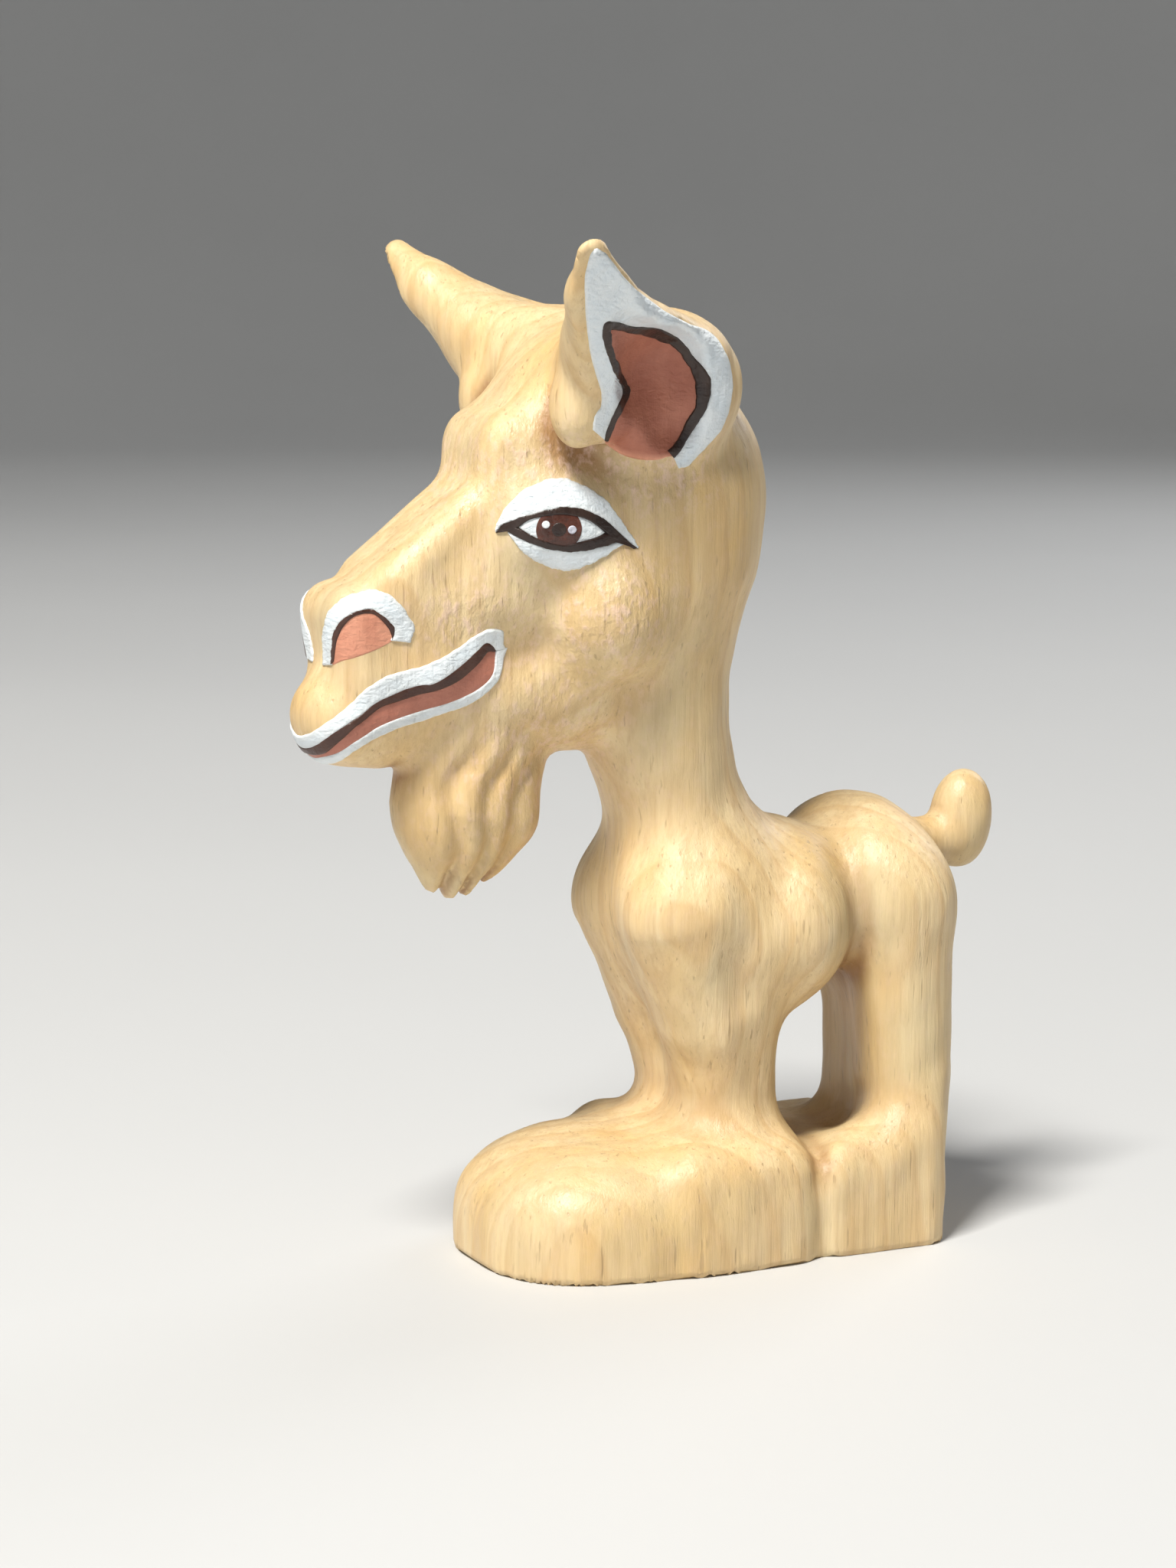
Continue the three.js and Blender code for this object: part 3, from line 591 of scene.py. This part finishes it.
def sheet(place, edge, inner, along, across, lift, over=(0, 0), rim=0.14, ring=False):
    """a coat of paint: the grid between two edges, rounded down into the wood at its rim"""
    t = np.linspace(0, 1, along + 1)[: along if ring else along + 1]
    s = np.linspace(-over[0], 1 + over[1], across + 1)
    s = np.concatenate([s[:1], s, s[-1:]])
    a, b = edge(t), inner(t)
    width = np.linalg.norm(a - b, axis=1)
    if place is on_muzzle:
        width = np.linalg.norm((a - b) * (0.14, 1.0), axis=1)
    grid = a[:, None] + (b - a)[:, None] * s[None, :, None]
    flat = grid.reshape(-1, 2)
    pts = place(flat[:, 0], flat[:, 1])
    norm = outward(carving, pts, 0.25)
    rows, cols = len(t), len(s)
    side = np.minimum(s - s[0], s[-1] - s)[None, :] * width[:, None]
    if not ring:
        run = np.linalg.norm(np.diff(pts.reshape(rows, cols, 3)[:, cols // 2], axis=0), axis=1)
        ends = np.minimum(t, 1 - t)[:, None] * run.sum()
        side = np.minimum(side, np.broadcast_to(ends, side.shape))
    height = lift * np.sqrt(np.clip(side / rim, 0, 1))
    height[:, [0, -1]] = -0.3
    if not ring:
        height[[0, -1], :] = -0.3
    pts = pts + norm * height.reshape(-1, 1)
    i, j = np.meshgrid(np.arange(along), np.arange(cols - 1), indexing="ij")
    i, j = i.ravel(), j.ravel()
    nxt = (i + 1) % rows
    faces = np.stack([i * cols + j, nxt * cols + j, nxt * cols + j + 1, i * cols + j + 1], 1)
    p = pts[faces]
    facing = np.cross(p[:, 2] - p[:, 0], p[:, 3] - p[:, 1])
    if (facing * norm[faces[:, 0]]).sum() < 0:
        faces = faces[:, ::-1]
    longest = max(np.linalg.norm(p[:, k] - p[:, k - 1], axis=1).max() for k in range(4))
    if longest > DROP:
        stretch = np.max([np.linalg.norm(p[:, k] - p[:, k - 1], axis=1) for k in range(4)], axis=0)
        faces = faces[stretch < DROP]
    return pts, faces, np.clip(1 - side / 0.7, 0, 1).ravel()


def coat(name, body, material, node):
    pts, faces, edge = body
    used, faces = np.unique(faces, return_inverse=True)
    obj = make(name, pts[used], faces.reshape(-1, 4), node, material)
    value(obj, "edge", edge[used])


def both(name, body, material):
    """the coat on the left side and its mirror image on the right"""
    pts, faces, edge = body
    coat(f"paint_left_{name}", body, material, f"left_{name}")
    twin = pts * np.array([-1.0, 1.0, 1.0])
    coat(f"paint_right_{name}", (twin, faces[:, ::-1], edge), material, f"right_{name}")


# The points of the outlines were picked by eye on the photograph, and a separate script turned
# the picks into millimetres and degrees on the carving.

# Ears
rim_outer = curve(
    (-12.2, 73.7), (-12.0, 74.8), (-11.4, 75.8), (-11.5, 77.3), (-12.2, 79.5), (-12.7, 81.9),
    (-12.9, 85.6), (-12.6, 87.7), (-12.0, 88.8), (-11.2, 88.6), (-10.7, 88.1), (-9.6, 86.9),
    (-8.0, 85.3), (-6.0, 83.9), (-3.2, 82.6), (-1.2, 81.8), (0.1, 80.5), (0.8, 79.0),
    (1.0, 76.9), (0.6, 74.8), (-0.2, 73.3), (-1.9, 71.7), (-3.2, 70.5), (-4.2, 70.3))
rim_inner = curve(
    (-11.1, 72.9), (-10.9, 73.8), (-10.0, 75.6), (-9.5, 76.8), (-9.8, 77.8), (-10.5, 79.2),
    (-11.1, 81.0), (-11.2, 82.5), (-10.3, 82.8), (-8.3, 82.4), (-6.0, 82.2), (-4.2, 81.4),
    (-2.9, 80.0), (-1.5, 78.5), (-1.2, 76.9), (-1.5, 75.5), (-2.4, 74.0), (-3.2, 72.9),
    (-4.1, 71.7), (-4.6, 71.3))
line_inner = curve(
    (-10.8, 72.8), (-10.0, 74.4), (-9.1, 76.0), (-8.7, 77.1), (-9.5, 78.4), (-10.1, 80.0),
    (-10.5, 81.6), (-10.3, 82.1), (-8.3, 81.7), (-6.3, 81.3), (-4.6, 80.5), (-3.2, 79.0),
    (-2.6, 77.3), (-2.5, 75.8), (-3.2, 74.6), (-3.9, 73.4), (-4.7, 72.2), (-5.3, 71.9))
lining_foot = curve((-11.0, 72.6), (-9.6, 71.7), (-8.0, 71.2), (-6.2, 71.1), (-5.0, 71.4))
both("ear_lining_pink", sheet(on_side, rim_inner, lining_foot, 120, 60, 0.04, (0.02, 0)), PINK)
both("ear_rim_white",
     sheet(on_side, shaky(rim_outer, 1, (0.03, 0.03)), rim_inner, 300, 16, 0.14, (0, 0.05)),
     WHITE)
both("ear_line_black",
     sheet(on_side, shaky(rim_inner, 3, (0.04, 0.04)), shaky(line_inner, 4, (0.05, 0.05)), 260, 10,
           0.24, (0.12, 0)),
     BLACK)

# Eyes
lid_top = curve((-21.1, 65.7), (-20.6, 66.9), (-19.0, 68.6), (-16.8, 69.6), (-14.9, 69.8),
                (-12.9, 69.1), (-11.0, 67.9), (-9.6, 66.2), (-8.3, 64.5), (-7.9, 63.8))
line_top = curve((-21.1, 65.4), (-20.4, 66.1), (-18.6, 66.7), (-16.5, 67.2), (-14.7, 67.4),
                 (-12.9, 67.1), (-11.0, 66.2), (-9.6, 65.0), (-8.6, 64.1), (-7.9, 63.6))
line_low = curve((-21.1, 65.4), (-20.1, 65.5), (-18.8, 64.8), (-16.8, 64.0), (-14.7, 63.6),
                 (-12.9, 63.6), (-11.0, 63.9), (-9.6, 64.2), (-8.5, 63.7), (-7.9, 63.6))
open_top = curve((-19.0, 65.8), (-17.9, 66.4), (-16.5, 66.6), (-14.9, 66.7), (-13.2, 66.4),
                 (-12.1, 65.9), (-11.0, 65.1))
open_low = curve((-19.0, 65.8), (-17.8, 65.1), (-16.8, 64.7), (-14.9, 64.2), (-13.6, 64.4),
                 (-12.1, 64.7), (-11.0, 65.1))
lid_low = curve((-20.0, 65.4), (-18.6, 63.7), (-16.8, 62.6), (-14.7, 62.0), (-12.9, 62.3),
                (-11.0, 63.1), (-9.5, 64.1))
both("upper_lid_white",
     sheet(on_side, shaky(lid_top, 5, (0.04, 0.04)), line_top, 110, 16, 0.15, (0, 0.1)),
     WHITE)
both("lower_lid_white",
     sheet(on_side, part(line_low, 0.12, 0.84), shaky(lid_low, 6, (0.04, 0.04)), 90, 12, 0.14,
           (0.15, 0)),
     WHITE)
both("eye_white_front",
     sheet(on_side, part(open_top, 0, 0.36), part(open_low, 0, 0.36), 36, 12, 0.06, (0.1, 0.1)),
     WHITE)
both("eye_white_back",
     sheet(on_side, part(open_top, 0.56, 1), part(open_low, 0.60, 1), 40, 12, 0.06, (0.1, 0.1)),
     WHITE)


def oval(y, z, ry, rz, most, lift):
    """a disc of paint, cut flat above and below where its rise would pass `most`"""
    def half(sign):
        def at(t):
            t = np.asarray(t, float)
            rise = np.minimum(rz * np.sin(np.pi * t), most)
            return np.stack([y - ry * np.cos(np.pi * t), z + sign * rise], 1)
        return at
    return sheet(on_side, half(1), half(-1), 44, 20, lift, rim=0.1)


both("iris_brown", oval(*EYE, 2.1, 1.9, 1.5, 0.10), IRIS)
both("pupil_black", oval(*EYE, 0.68, 0.62, 1, 0.13), BLACK)
both("highlight_front", oval(-16.5, 65.95, 0.38, 0.35, 1, 0.17), WHITE)
both("highlight_back", oval(-14.1, 65.45, 0.40, 0.38, 1, 0.17), LILAC)


def loop(upper, lower):
    """out along the upper line and back along the lower one"""
    def at(t):
        t = np.asarray(t, float)
        first = (t < 0.5)[:, None]
        return np.where(first, upper(np.clip(2 * t, 0, 1)), lower(np.clip(2 - 2 * t, 0, 1)))
    return at


liner = sheet(on_side, loop(shaky(line_top, 7, (0.03, 0.03)), shaky(line_low, 8, (0.03, 0.03))),
              loop(open_top, open_low), 220, 10, 0.19, ring=True)
both("eye_outline_black", liner, BLACK)

# Nostrils
arch_outer = curve((7, 53.9), (8, 55.9), (15, 58.0), (22, 59.6), (29, 60.4), (39, 60.5),
                   (49, 59.8), (56, 58.6), (61, 57.2), (57, 56.0))
arch_inner = curve((16, 54.1), (18, 55.4), (21, 57.0), (26, 58.2), (32, 58.9), (38, 58.9),
                   (45, 58.0), (48, 57.2), (46, 56.2))
line_in = curve((19, 54.5), (21, 55.5), (23, 56.5), (27, 57.7), (32, 58.5), (38, 58.5),
                (43, 57.6), (45, 57.0), (46, 56.4))
foot = curve((18, 54.2), (24, 54.6), (30, 54.9), (37, 55.4), (46, 56.2))
both("nostril_pink", sheet(on_muzzle, arch_inner, foot, 60, 30, 0.04), NOSTRIL)
both("nostril_rim_white",
     sheet(on_muzzle, shaky(arch_outer, 9, (0.35, 0.04)), arch_inner, 120, 14, 0.16, (0, 0.1)),
     WHITE)
both("nostril_line_brown",
     sheet(on_muzzle, shaky(arch_inner, 10, (0.3, 0.03)), line_in, 110, 8, 0.17, (0.1, 0)),
     BROWN)


# Mouth
def around(*left):
    """the left half of a line round the muzzle, with its mirror image before it"""
    right = [(-u, v) for u, v in left[:0:-1]]
    return curve(*right, *left)


band_top = around(
    (0, 48.0), (14, 48.7), (24, 50.1), (31, 51.6), (39, 52.8), (48, 53.5), (65, 54.0),
    (81, 54.6), (98, 55.5), (111, 56.4), (121, 56.9), (130, 56.6), (135, 55.0))
band_low = around(
    (0, 47.0), (13, 47.5), (24, 48.8), (31, 49.9), (38, 51.1), (48, 51.9), (60, 52.4),
    (75, 52.6), (91, 53.5), (104, 54.4), (113, 55.2), (121, 55.8), (129, 55.0))
mouth_low = around(
    (0, 46.4), (14, 46.7), (25, 48.0), (32, 49.3), (40, 50.6), (49, 51.1), (63, 51.6),
    (78, 51.9), (90, 52.3), (102, 52.9), (114, 54.0), (122, 54.9), (128, 54.9))
lip_low = around(
    (0, 46.0), (14, 46.4), (23, 47.0), (31, 48.0), (39, 49.0), (51, 49.7), (68, 50.2),
    (82, 50.5), (94, 50.8), (106, 51.2), (117, 51.8), (126, 53.0), (129, 55.1))
edge_low = around(
    (0, 45.5), (16, 45.9), (27, 46.9), (35, 47.9), (42, 48.4), (52, 48.9), (68, 49.3),
    (84, 49.7), (99, 50.1), (110, 50.4), (121, 51.1), (131, 52.7), (135.3, 55.3))
coat("paint_lower_lip", sheet(on_muzzle, mouth_low, lip_low, 360, 14, 0.05, (0.1, 0.1)), LIP,
     "lower_lip_pink")
coat("paint_lip_band",
     sheet(on_muzzle, shaky(band_top, 11, (0.3, 0.04)), band_low, 420, 14, 0.17, (0, 0.12)),
     WHITE, "lip_band_white")
coat("paint_lip_edge",
     sheet(on_muzzle, lip_low, shaky(edge_low, 12, (0.3, 0.03)), 420, 10, 0.15, (0.1, 0)),
     WHITE, "lower_lip_edge_white")
coat("paint_mouth_line",
     sheet(on_muzzle, shaky(band_low, 13, (0.2, 0.04)), mouth_low, 420, 10, 0.19, (0.05, 0.05)),
     BROWN, "mouth_line_brown")


# ---- Floor, light and camera --------------------------------------------------------------
def floor():
    """a flat disc that rises into a wall all round, so that no view shows an edge"""
    flat, bend, turns = 1.3, 1.0, 96
    profile = [(0.05, 0.0), (flat, 0.0)]
    for a in np.linspace(0.1, np.pi / 2, 14):
        profile.append((flat + bend * np.sin(a), bend - bend * np.cos(a)))
    profile.append((flat + bend, 2.6))
    angles = 2 * np.pi * np.arange(turns) / turns
    pts = [[r * np.cos(t), r * np.sin(t), h] for r, h in profile for t in angles]
    quads = [
        (i * turns + j, i * turns + (j + 1) % turns,
         (i + 1) * turns + (j + 1) % turns, (i + 1) * turns + j)
        for i in range(len(profile) - 1) for j in range(turns)
    ]
    quads.append(tuple(range(turns))[::-1])
    mesh = bpy.data.meshes.new("floor")
    mesh.from_pydata(pts, [], quads)
    mesh.polygons.foreach_set("use_smooth", [True] * len(quads))
    obj = bpy.data.objects.new("floor", mesh)
    bpy.context.scene.collection.objects.link(obj)
    n = Nodes("floor")
    tone = n.ramp(n.noise((3, 3, 3)), (0.3, (0.60, 0.61, 0.62)), (0.7, (0.63, 0.64, 0.65)))
    obj.data.materials.append(n.finish(tone, 0.6))


def light(name, at, size, power, colour):
    data = bpy.data.lights.new(name, "AREA")
    data.shape = "RECTANGLE"
    data.size, data.size_y = size
    data.energy = power
    data.color = colour
    obj = bpy.data.objects.new(name, data)
    bpy.context.scene.collection.objects.link(obj)
    obj.location = at
    way = mathutils.Vector((0, 0, 0.045)) - mathutils.Vector(at)
    obj.rotation_euler = way.to_track_quat("-Z", "Y").to_euler()


def studio():
    def seen(azimuth, elevation, away):
        a, e = np.radians(azimuth), np.radians(elevation)
        return tuple(away * np.array([np.sin(a) * np.cos(e), -np.cos(a) * np.cos(e), np.sin(e)]))

    light("key", seen(34, 60, 1.2), (0.30, 0.30), 21.0, (1.0, 0.965, 0.90))
    light("fill", seen(50, 10, 1.2), (0.8, 0.8), 1.6, (0.88, 0.94, 1.0))
    light("rim", seen(205, 30, 1.1), (0.5, 0.5), 3.0, (0.97, 0.98, 1.0))
    world = bpy.data.worlds.new("studio")
    world.use_nodes = True
    world.node_tree.nodes["Background"].inputs["Color"].default_value = (0.80, 0.87, 1.0, 1)
    world.node_tree.nodes["Background"].inputs["Strength"].default_value = 0.05
    bpy.context.scene.world = world


def camera():
    data = bpy.data.cameras.new("camera")
    obj = bpy.data.objects.new("camera", data)
    bpy.context.scene.collection.objects.link(obj)
    azimuth, pitch, away = np.radians(65), np.radians(8.45), 0.313
    focal_pixels, frame_pixels, film = 4726, 2048, 36
    aim = mathutils.Vector((0.0055, (-10.5 + SHIFT) / 1000, 0.043))
    back = mathutils.Vector((np.sin(azimuth) * np.cos(pitch), -np.cos(azimuth) * np.cos(pitch),
                             np.sin(pitch)))
    obj.location = aim + away * back
    obj.rotation_euler = (-back).to_track_quat("-Z", "Y").to_euler()
    data.lens = focal_pixels / frame_pixels * film
    data.sensor_width = film
    data.clip_start = 0.01
    data.dof.use_dof = False
    bpy.context.scene.camera = obj


floor()
studio()
camera()
bpy.context.scene.view_settings.view_transform = "Standard"
